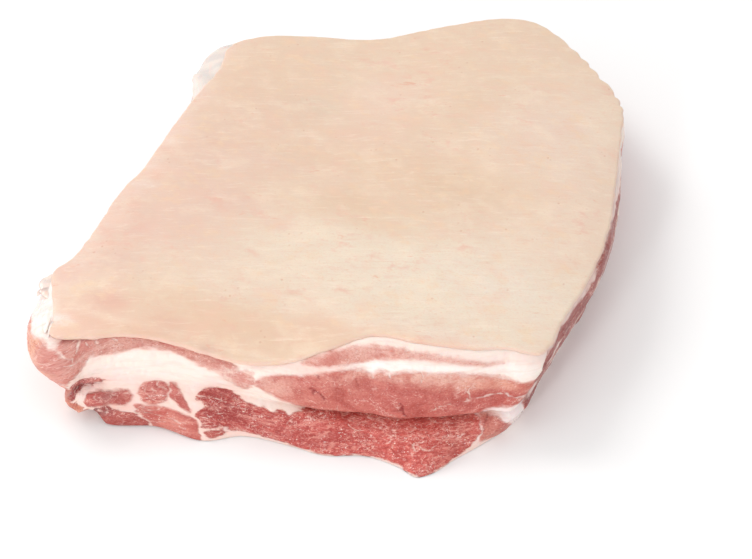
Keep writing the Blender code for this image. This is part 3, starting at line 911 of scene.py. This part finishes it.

# %% [markdown]
# ## Blotches and painted light in the skin
# Skin keeps the marks of what lay under it: rosy where blood was left, tan where it dried in the air, pale
# over thick fat. A few pale spots are painted light: a pool of light across the front middle, and thin
# streaks of painted highlight along the front rim. The large marks are listed as spots, mixed by nearness,
# and their edges are pulled about by noise. They are kept as a colour on each point, which is fine enough
# for marks of a centimetre and more.

# %% Colours of the skin
SKIN, SKIN_WEIGHT, SKIN_LEVEL = (239, 211, 186), 0.6, 0.86
LIP_SKIN, LIP_SHARE = (246, 206, 192), 0.6  # the cut edge of the skin is rosier
# ((x, y), (reach along x, reach along y), colour, strength), in millimetres
SKIN_MARKS_AND_HIGHLIGHTS = [
    # painted light: the broad pale spots at (65, -88), (102, -82) and (60, -90) are a pool of light across
    # the front middle
    ((65, -88), (92, 38), (245, 230, 208), 1.7), ((-30, -122), (60, 26), (243, 220, 200), 1.0),
    ((112, 76), (34, 26), (243, 217, 200), 0.9), ((-20, 78), (20, 26), (247, 216, 197), 0.9),
    ((72, 0), (44, 24), (234, 201, 171), 1.1), ((0, 6), (60, 11), (236, 204, 176), 0.8),
    ((-112, 70), (26, 42), (236, 203, 178), 0.7), ((40, 90), (14, 16), (236, 205, 179), 0.8),
    ((-122, -90), (24, 18), (236, 198, 180), 1.0), ((-76, -52), (20, 10), (237, 199, 183), 1.1),
    ((-38, -66), (9, 6), (238, 194, 178), 1.0), ((-146, 0), (13, 150), (248, 216, 203), 1.6),
    ((85, -134), (36, 5), (248, 202, 170), 1.8), ((12, -143), (15, 10), (236, 192, 166), 1.4),
    ((-40, -160), (18, 9), (240, 200, 172), 1.0), ((-110, -156), (10, 14), (241, 197, 180), 1.0),
    ((-126, -184), (20, 14), (247, 200, 182), 1.6), ((-131, -180), (7, 3.2), (252, 242, 234), 7),
    ((-138, -176), (3, 6), (250, 236, 228), 5), ((-108, -159), (10, 5), (229, 174, 156), 2.2),
    ((-116, -97), (7, 6), (232, 190, 176), 1.2), ((-69, -165), (9, 5), (231, 184, 162), 1.6),
    # painted highlights: the thin pale streaks at (-95, -171), (-60, -168), (-14, -166) and (-20, -176)
    # follow the front rim
    ((-42, -173), (4, 4), (222, 178, 164), 2.4), ((-95, -171), (18, 2), (250, 226, 204), 1.2),
    ((-60, -168), (16, 2), (248, 222, 198), 1.0), ((-14, -166), (26, 2.2), (250, 226, 202), 1.2),
    ((-20, -150), (70, 12), (236, 198, 168), 1.1), ((-90, -176), (30, 7), (238, 192, 166), 1.2),
    ((-108, -40), (28, 60), (238, 201, 186), 0.9), ((-92, -92), (34, 24), (237, 201, 187), 0.8),
    ((112, 82), (8, 8), (238, 198, 184), 0.8), ((-20, -176), (34, 5), (250, 222, 198), 1.5),
    ((-75, -8), (22, 9), (240, 205, 189), 0.7), ((100, -129), (50, 6), (248, 224, 212), 1.3),
    ((-143, -143), (7, 9), (232, 186, 174), 1.2), ((-60, -168), (60, 8), (238, 200, 176), 0.8),
    ((8, -42), (32, 16), (231, 194, 162), 1.0), ((102, -82), (34, 14), (244, 231, 218), 1.2),
    ((133, 95), (18, 26), (246, 226, 202), 0.9), ((-122, -127), (14, 10), (230, 188, 176), 0.9),
    ((-60, 20), (70, 50), (236, 200, 180), 0.5), ((-130, -75), (4, 3), (240, 184, 164), 1.6),
    ((-115, -94), (4, 6), (240, 186, 168), 1.6), ((-133, -43), (6, 4), (242, 190, 164), 1.6),
    ((-136, -103), (4, 3), (238, 184, 166), 1.4), ((-106, 1), (4, 3), (238, 188, 168), 1.4),
    ((-81, -55), (9, 2.5), (236, 190, 172), 1.4), ((-134, -16), (5, 4), (242, 194, 172), 1.4),
    ((-137, -6), (6, 1.6), (252, 230, 214), 2), ((-137, -35), (6, 1.6), (252, 230, 216), 2),
    ((-135, -54), (8, 1.6), (248, 226, 216), 1.6), ((-139, -63), (7, 2), (250, 214, 200), 1.6),
    ((120, 10), (50, 110), (248, 226, 210), 0.6), ((60, -90), (90, 34), (248, 234, 218), 0.7),
]


places = rind_rings[..., :2]
pull_x = 7 * cloud(places, (19, 13), 80) + 3 * cloud(places, (7, 5), 81)
pull_y = 5 * cloud(places, (19, 13), 82) + 2 * cloud(places, (7, 5), 83)
marks_and_highlights, marks_and_highlights_weight = spots_mixed(places[..., 0], places[..., 1], SKIN_MARKS_AND_HIGHLIGHTS, pull_x, pull_y)
tone = SKIN_LEVEL * (marks_and_highlights + SKIN_WEIGHT * linear(SKIN)) / (marks_and_highlights_weight + SKIN_WEIGHT)[..., None]
lip_tone = tone[len(top_rings) + 2:]
lip_tone += LIP_SHARE * (SKIN_LEVEL * linear(LIP_SKIN) - lip_tone)
top_pole = (0, 0, rind_height(np.zeros(1), np.zeros(1))[0])
bottom_pole = (0, 0, UNDERSIDE[-1][1])
rind = closed_shell("rind", rind_rings, top_pole, bottom_pole, places[..., 0], places[..., 1], {"tone": tone})
print(len(SKIN_MARKS_AND_HIGHLIGHTS), "blotches in the skin")

# %% [markdown]
# ## Loose fat
# The knife left a flap of membrane on the left edge and shreds of soft fat hanging over the front left
# corner. Each is a short strand: an ellipse carried along a few points, and drawn in to nothing at both
# ends. They are small enough to share one mesh.

# %% Build the strands
# (points from root to tip, width, thickness, colour), in millimetres
STRANDS = [
    ([(-151.6, -142, 49.8), (-153.6, -149.5, 49.4), (-151, -155.5, 48.8), (-145, -162, 48.4)],
     8.5, 1.0, (244, 220, 210)),
    ([(-149, -148, 49), (-155.4, -150.5, 49), (-157.6, -151.6, 47.6)], 4.5, 0.8, (238, 208, 200)),
    ([(-149, -153, 49.2), (-153.6, -157.4, 48.6), (-155, -161, 47)], 3.0, 0.8, (240, 214, 206)),
    ([(-136, -178, 52), (-135.4, -184, 51), (-134.4, -189.4, 49.8)], 2.6, 1.0, (246, 238, 232)),
    ([(-133, -181, 52.4), (-132.2, -187, 51.2), (-131, -192, 49.6)], 2.0, 1.0, (246, 238, 232)),
]


def strand(points, width, thick, rings=22, sides=10):
    """A closed tube of elliptical section along the smooth curve through the points. Its radius follows
    sin(pi t)^0.6, so it tapers to a point at both ends, and it is widest across the level direction."""
    points = np.array(points, float)
    padded = np.concatenate([[2 * points[0] - points[1]], points, [2 * points[-1] - points[-2]]])
    t = np.linspace(0, 1, rings)
    centre = closed_curve(padded, 1 + t * (len(points) - 1) * 0.9999)
    along = np.gradient(centre, axis=0)
    across = np.cross(along, UP)
    across /= np.linalg.norm(across, axis=1, keepdims=True)
    lift = np.cross(across, along)
    lift /= np.linalg.norm(lift, axis=1, keepdims=True)
    radius = (np.clip(np.sin(np.pi * t), 0, 1) ** 0.6)[:, None, None]
    wobble = 1 + 0.4 * cloud(centre, (2.4, 2.4, 2.4), 90)[:, None, None]
    angle = np.linspace(0, 2 * np.pi, sides, endpoint=False)[None, :, None]
    section = width / 2 * np.cos(angle) * across[:, None] + thick / 2 * np.sin(angle) * lift[:, None]
    return centre[:, None] + radius * wobble * section


def joined_strands(name, shapes, colours):
    """One mesh of all the strands: quads between rings and a fan of triangles at each tip."""
    points, faces = [], []
    for rings in shapes:
        count, sides = rings.shape[:2]
        start = sum(len(p) for p in points)
        ends = [rings[0].mean(axis=0), rings[-1].mean(axis=0)]
        points.append(np.concatenate([rings[1:-1].reshape(-1, 3), ends]))
        quads = grid_quads(count - 2, sides)[:, [0, 3, 2, 1]]
        first, last = (count - 2) * sides, (count - 3) * sides
        tips = [fan(first, np.arange(sides), turned=True), fan(first + 1, last + np.arange(sides))]
        for cells in (quads, *tips):
            faces += (cells + start).tolist()
    mesh = bpy.data.meshes.new(name)
    mesh.from_pydata((np.concatenate(points) * MM).tolist(), [], faces)
    each = [np.tile(linear(colour), (len(own), 1)) for own, colour in zip(points, colours)]
    give_colours(mesh, "tone", np.concatenate(each))
    print(f"{name}: {len(shapes)} strands, {len(faces)} faces")
    return placed(name, mesh)


shapes = [strand(points, width, thick) for points, width, thick, _ in STRANDS]
loose_fat = joined_strands("loose_fat", shapes, [colour for *_, colour in STRANDS])

# %% [markdown]
# ## Finishes
# A finish is a small graph of nodes. The helper below makes a material, and gives back a function that
# adds a node, gives it its settings, and joins or sets its inputs in one call, so that a graph reads like
# a list of steps.

# %% A new finish
def new_finish(name):
    """A material with its shader, and the function that adds nodes to it."""
    material = bpy.data.materials.new(name)
    material.use_nodes = True
    tree = material.node_tree
    shader = tree.nodes["Principled BSDF"]

    def put(kind, inputs=(), **settings):
        """Adds a node. inputs maps a socket's name or number to a number, a colour or another socket."""
        node = tree.nodes.new("ShaderNode" + kind) if kind != "shader" else shader
        for key, value in settings.items():
            setattr(node, key, value)
        for key, value in dict(inputs).items():
            if isinstance(value, bpy.types.NodeSocket):
                tree.links.new(value, node.inputs[key])
            else:
                node.inputs[key].default_value = value
        return node

    return material, put


print("finishes to make: meat, loose fat, rind and floor")

# %% [markdown]
# ## Steps that come back
# The finishes share a few steps: noise, a smooth ramp, arithmetic, and colours laid one over another.
# Each step adds its nodes and gives back the socket that carries its result.

# %% Steps of a finish
def noise(put, place, scale, detail=3.0, rough=0.55, stretch=(1, 1, 1), wavy=0.0):
    """Noise read at a place that is stretched first; its value swings about 0.5. Wavy bends its streaks."""
    moved = put("Mapping", {"Vector": place, "Scale": stretch})
    look = {"Scale": scale, "Detail": detail, "Roughness": rough, "Distortion": wavy}
    return put("TexNoise", {"Vector": moved.outputs[0], **look}).outputs[0]


def ramp(put, value, low, high, to_low=0.0, to_high=1.0):
    """Maps low..high onto to_low..to_high with a smooth rise, clamped."""
    inputs = {0: value, 1: low, 2: high, 3: to_low, 4: to_high}
    return put("MapRange", inputs, interpolation_type="SMOOTHSTEP").outputs[0]


def sums(put, operation, a, b):
    """One step of arithmetic."""
    return put("Math", {0: a, 1: b}, operation=operation).outputs[0]


def times(put, *factors):
    """The product of two or more values."""
    result = factors[0]
    for factor in factors[1:]:
        result = sums(put, "MULTIPLY", result, factor)
    return result


def lines_in(put, field, outer, inner):
    """1 on the thin lines where a noise passes through 0.5, and 0 away from them."""
    off_line = sums(put, "ABSOLUTE", sums(put, "SUBTRACT", field, 0.5), 0.0)
    return ramp(put, off_line, outer, inner)


def between(put, share, a, b):
    """A value that goes from a to b as the share goes from 0 to 1."""
    return put("Mix", {0: share, 2: a, 3: b}, data_type="FLOAT").outputs[0]


def blend(put, share, a, b, how="MIX"):
    """Mixes two colours."""
    return put("Mix", {0: share, 6: a, 7: b}, data_type="RGBA", blend_type=how).outputs[2]


def layered(put, colour, layers):
    """Colours laid one over another: a layer is how much of the surface it covers, and its colour."""
    for share, over in layers:
        colour = blend(put, share, colour, over)
    return colour


def stored(put, name, kind="Fac"):
    """A value or a colour that is kept on the mesh's points."""
    return put("Attribute", attribute_name=name).outputs[kind]


def paint(colour):
    """A 0 to 255 screen colour as a socket's value."""
    return (*linear(colour), 1)


print(f"a grey of 128 on screen is {paint((128,) * 3)[0]:.3f} in linear light")

# %% [markdown]
# ## Patterns in the flesh
# One material serves all the cut faces. The signed distance says lean or fat: noise is added to it first,
# which frays the border more finely than the mesh could. The flesh needs patterns of several sizes, all
# drawn out along the muscle: patches, strips and fibres, and a curdled one where no fibres show.

# %% Patterns of lean and fat
meat_finish, put = new_finish("raw lean and fat")
lay = put("UVMap", uv_map="lay").outputs[0]
fleck_amount = stored(put, "flecks")
flesh_colour, fat_colour = stored(put, "flesh", "Color"), stored(put, "fat", "Color")

fray = sums(put, "SUBTRACT", noise(put, lay, 420, 4, 0.65, (0.45, 1, 1)), 0.5)
fraying_mm = times(put, fray, times(put, stored(put, "frayed"), 3.2))
frayed_lean = sums(put, "ADD", stored(put, "lean"), fraying_mm)
is_lean = ramp(put, sums(put, "DIVIDE", frayed_lean, stored(put, "softness")), -1.0, 1.0)

patches = noise(put, lay, 110, 3, 0.5, (0.6, 1, 1), 0.6)
fibre = noise(put, lay, 600, 4, 0.65, (0.5, 1, 1), 0.8)
fine = noise(put, lay, 1500, 2, 0.6, (0.6, 1, 1))
curdled = noise(put, lay, 800, 4, 0.6, (0.7, 1, 1))
strips = noise(put, lay, 230, 3, 0.6, (0.32, 1, 1), 1.2)
veins = noise(put, lay, 95, 4, 0.6, (0.6, 1, 1))
threads = noise(put, lay, 300, 3, 0.5, (0.55, 1, 1), 1.0)
marble = noise(put, lay, 480, 4, 0.65, (0.5, 1, 1), 0.6)
painted_glint_noise = noise(put, lay, 1100, 2, 0.5, (0.7, 1, 1))
streak = noise(put, lay, 300, 4, 0.6, (0.18, 1, 1))
clustered = ramp(put, noise(put, lay, 75, 3, 0.5, (0.6, 1, 1)), 0.42, 0.6)
painted_glint_clusters = ramp(put, noise(put, lay, 150, 2, 0.5), 0.47, 0.6)
coarse = ramp(put, fleck_amount, 0.35, 0.8)
texture = between(put, coarse, curdled, fibre)
strength = between(put, coarse, 0.3, 1.0)
print("patterns of the meat:", len(meat_finish.node_tree.nodes), "nodes")

# %% [markdown]
# ## Lean and fat
# Over each muscle's own colour lie darker and paler layers, then what is whitish: a web of gristle,
# threads, marbling and wet glints, which are painted highlights: white specks in the colour. Fat gets faint
# streaks. Both are wet, so a thin clear coat lies over them, and light goes a little way into them.

# %% The meat's finish
dark = blend(put, 1.0, flesh_colour, paint((222, 152, 144)), "MULTIPLY")
pale = blend(put, 0.4, flesh_colour, paint((250, 198, 180)))
web = times(put, lines_in(put, veins, 0.012, 0.002), ramp(put, patches, 0.45, 0.6, 0.0, 0.6))
thread = times(put, lines_in(put, threads, 0.018, 0.004), clustered,
               ramp(put, fleck_amount, 0.3, 1.0, 0.1, 0.6))
marbling = times(put, ramp(put, marble, 0.58, 0.66), ramp(put, fine, 0.36, 0.5),
                 ramp(put, fleck_amount, 0.0, 1.0, 0.25, 0.9), ramp(put, clustered, 0.0, 1.0, 0.3, 1.0))
# painted highlights: white specks in the colour stand in for wet glints
painted_glint = times(put, ramp(put, painted_glint_noise, 0.62, 0.67), painted_glint_clusters, ramp(put, fleck_amount, 0.2, 0.9, 0.3, 1.0))
flesh_done = layered(put, flesh_colour, [
    (ramp(put, patches, 0.55, 0.35, 0.0, 0.75), dark),
    (times(put, ramp(put, strips, 0.5, 0.37, 0.0, 0.65), strength), dark),
    (times(put, ramp(put, strips, 0.53, 0.66, 0.0, 0.7), strength), pale),
    (times(put, ramp(put, texture, 0.5, 0.38), strength), dark),
    (times(put, ramp(put, texture, 0.54, 0.66), strength), pale),
    (ramp(put, fine, 0.52, 0.72, 0.0, 0.4), pale), (ramp(put, fine, 0.46, 0.28, 0.0, 0.4), dark),
    (web, paint((240, 200, 188))), (thread, paint((240, 196, 182))), (marbling, paint((244, 204, 192))),
    (painted_glint, paint((252, 232, 224))),
])
fat_done = layered(put, fat_colour, [
    (ramp(put, streak, 0.45, 0.7, 0.0, 0.55), paint((236, 206, 194))),
    (ramp(put, patches, 0.5, 0.8, 0.0, 0.25), paint((228, 218, 218))),
])
colour = blend(put, is_lean, fat_done, flesh_done)

rough = between(put, is_lean, 0.46, ramp(put, fibre, 0.3, 0.7, 0.3, 0.5))
grain = sums(put, "ADD", times(put, texture, 0.8), times(put, fine, 0.3))
grain = sums(put, "ADD", grain, times(put, marble, 0.5))
grain = times(put, grain, between(put, is_lean, 0.35, 1.0))
bump = put("Bump", {"Strength": 0.8, "Distance": 0.0012, "Height": grain})
wet = put("Bump", {"Strength": 1.0, "Distance": 0.0016, "Height": grain})
put("shader", {"Base Color": colour, "Roughness": rough, "Normal": bump.outputs[0], "Subsurface Weight": 0.25,
               "Subsurface Radius": (1.0, 0.35, 0.22), "Subsurface Scale": 0.003, "Specular IOR Level": 0.45,
               "Coat Weight": 0.5, "Coat Roughness": 0.12, "Coat Normal": wet.outputs[0]})
meat.data.materials.append(meat_finish)
print("meat's finish:", len(meat_finish.node_tree.nodes), "nodes")

# %% [markdown]
# ## Soft loose fat
# The shreds are fat and membrane alone: whitish, a little see-through and wetter than the cut face.

# %% The loose fat's finish
fat_finish, put = new_finish("loose soft fat")
where = put("TexCoord").outputs["Object"]
cloudy = noise(put, where, 160, 3, 0.55)
strandy = noise(put, where, 600, 3, 0.6, (1, 0.3, 1))
strand_tone = stored(put, "tone", "Color")
darker_tone = blend(put, 1.0, strand_tone, paint((246, 230, 224)), "MULTIPLY")
fat_tone = layered(put, strand_tone, [
    (ramp(put, cloudy, 0.35, 0.7), darker_tone),
    (ramp(put, strandy, 0.5, 0.75, 0.0, 0.5), paint((252, 246, 240))),
])
bump = put("Bump", {"Strength": 0.6, "Distance": 0.0008, "Height": strandy})
put("shader", {"Base Color": fat_tone, "Roughness": 0.36, "Normal": bump.outputs[0],
               "Subsurface Weight": 0.35, "Subsurface Radius": (1.0, 0.6, 0.45), "Subsurface Scale": 0.003,
               "Coat Weight": 0.4, "Coat Roughness": 0.15})
loose_fat.data.materials.append(fat_finish)
print("loose fat's finish:", len(fat_finish.node_tree.nodes), "nodes")

# %% [markdown]
# ## Skin
# Scalded rind is cream, with rosy blotches where blood lay under it, tan where it dried, fine streaks
# left by the scraper, and pores. Its bump is leathery but low.

# %% The rind's finish
rind_finish, put = new_finish("scalded pork rind")
where = put("TexCoord").outputs["Object"]
tilted, other_way = (put("Mapping", {"Vector": where, "Rotation": (0, 0, turn)}).outputs[0]
                     for turn in (-0.3, -0.15))
mottle = noise(put, where, 120, 4, 0.65, (0.7, 1, 1))
region = noise(put, where, 30, 3, 0.55, (0.8, 1, 1))
clouds = noise(put, where, 62, 4, 0.6, (0.8, 1, 1))
scraped = noise(put, tilted, 420, 4, 0.7, (0.14, 1, 1), 0.6)
crossed = noise(put, other_way, 230, 3, 0.6, (0.35, 1, 1), 0.5)
grain = noise(put, where, 1100, 2, 0.6, (0.6, 1, 1))
sparse = noise(put, where, 55, 2, 0.5)
pores = put("TexVoronoi", {"Vector": where, "Scale": 190.0, "Randomness": 1.0}).outputs["Distance"]

rosy = times(put, ramp(put, mottle, 0.5, 0.7), ramp(put, region, 0.46, 0.66))
dried = times(put, ramp(put, mottle, 0.52, 0.34), ramp(put, region, 0.55, 0.38))
nicks = times(put, ramp(put, crossed, 0.64, 0.72), ramp(put, region, 0.5, 0.62, 0.0, 0.6))
speck = times(put, ramp(put, pores, 0.20, 0.08), ramp(put, sparse, 0.55, 0.68))
skin = layered(put, stored(put, "tone", "Color"), [
    (ramp(put, clouds, 0.46, 0.72, 0.0, 0.3), paint((242, 222, 198))),
    (ramp(put, clouds, 0.5, 0.3, 0.0, 0.3), paint((232, 190, 168))),
    (times(put, rosy, 0.55), paint((226, 176, 158))), (times(put, dried, 0.5), paint((232, 200, 168))),
    (ramp(put, scraped, 0.52, 0.72, 0.0, 0.3), paint((246, 230, 214))),
    (ramp(put, scraped, 0.46, 0.28, 0.0, 0.35), paint((222, 180, 154))),
    (nicks, paint((222, 164, 136))), (ramp(put, grain, 0.5, 0.25, 0.0, 0.4), paint((224, 182, 156))),
    (times(put, speck, 0.45), paint((204, 146, 120))),
])

leather = sums(put, "ADD", times(put, scraped, 0.6), times(put, grain, 0.16))
leather = sums(put, "SUBTRACT", leather, times(put, speck, 0.4))
bump = put("Bump", {"Strength": 0.45, "Distance": 0.0006, "Height": leather})
rough = ramp(put, scraped, 0.3, 0.7, 0.42, 0.58)
put("shader", {"Base Color": skin, "Roughness": rough, "Normal": bump.outputs[0], "Subsurface Weight": 0.2,
               "Subsurface Radius": (1.0, 0.5, 0.3), "Subsurface Scale": 0.003, "Specular IOR Level": 0.4})
rind.data.materials.append(rind_finish)
print("rind's finish:", len(rind_finish.node_tree.nodes), "nodes")

# %% [markdown]
# ## Floor and light
# The floor is plain and white. A broad soft light hangs to the left and behind, so the shadow falls to
# the right and forward, and an even white surround fills it.

# %% The studio
FLOOR_REACH, FLOOR_DROP = 4, -0.0004  # in metres; a hair below the slab's flat sole
floor_mesh = bpy.data.meshes.new("floor")
corners = [(x * FLOOR_REACH, y * FLOOR_REACH, FLOOR_DROP) for x, y in ((-1, -1), (1, -1), (1, 1), (-1, 1))]
floor_mesh.from_pydata(corners, [], [(0, 1, 2, 3)])
floor = bpy.data.objects.new("floor", floor_mesh)
bpy.context.scene.collection.objects.link(floor)
floor_finish, put = new_finish("white floor")
put("shader", {"Base Color": (0.98, 0.98, 0.98, 1), "Roughness": 0.9, "Specular IOR Level": 0.1})
floor.data.materials.append(floor_finish)

world = bpy.data.worlds.new("studio")
bpy.context.scene.world = world
world.use_nodes = True
world.node_tree.nodes["Background"].inputs["Color"].default_value = (1, 1, 1, 1)
world.node_tree.nodes["Background"].inputs["Strength"].default_value = 0.82

LIT_POINT = Vector((0, -0.1, 0.03))
# (place, size, power, colour)
LIGHTS = [
    ((-2.0, 0.7, 2.2), 1.3, 30, (1, 0.99, 0.97)), ((-0.3, -3.2, 2.0), 1.5, 4, (1, 1, 1)),
    ((-0.25, -1.9, 0.75), 0.22, 8, (1, 1, 1)), ((-1.9, -2.2, 0.8), 1.0, 7, (0.96, 0.99, 1)),
]
for number, (place, size, power, tint) in enumerate(LIGHTS):
    lamp = bpy.data.lights.new(f"softbox_{number}", "AREA")
    lamp.size, lamp.energy, lamp.color = size, power, tint
    holder = bpy.data.objects.new(lamp.name, lamp)
    holder.location = place
    holder.rotation_euler = (LIT_POINT - Vector(place)).to_track_quat("-Z", "Y").to_euler()
    bpy.context.scene.collection.objects.link(holder)

print(len(LIGHTS), "soft lights round the slab")

# %% [markdown]
# ## Camera
# The camera looks down on the slab from the front right, through a lens a little longer than normal, so
# the far end narrows only gently.

# %% The camera
CAMERA_TURN, CAMERA_RISE, CAMERA_AWAY = np.radians(18), np.radians(43), 0.9
AIM = Vector((0.0256, -0.0677, 0.030))
back = Vector((np.sin(CAMERA_TURN) * np.cos(CAMERA_RISE), -np.cos(CAMERA_TURN) * np.cos(CAMERA_RISE),
               np.sin(CAMERA_RISE)))
lens = bpy.data.cameras.new("camera")
lens.lens, lens.sensor_width = 70, 36
camera = bpy.data.objects.new("camera", lens)
camera.location = AIM + CAMERA_AWAY * back
camera.rotation_euler = (-back).to_track_quat("-Z", "Y").to_euler()
bpy.context.scene.collection.objects.link(camera)
bpy.context.scene.camera = camera
bpy.context.scene.view_settings.view_transform = "Standard"
print("the camera is", CAMERA_AWAY, "m from the slab's middle")
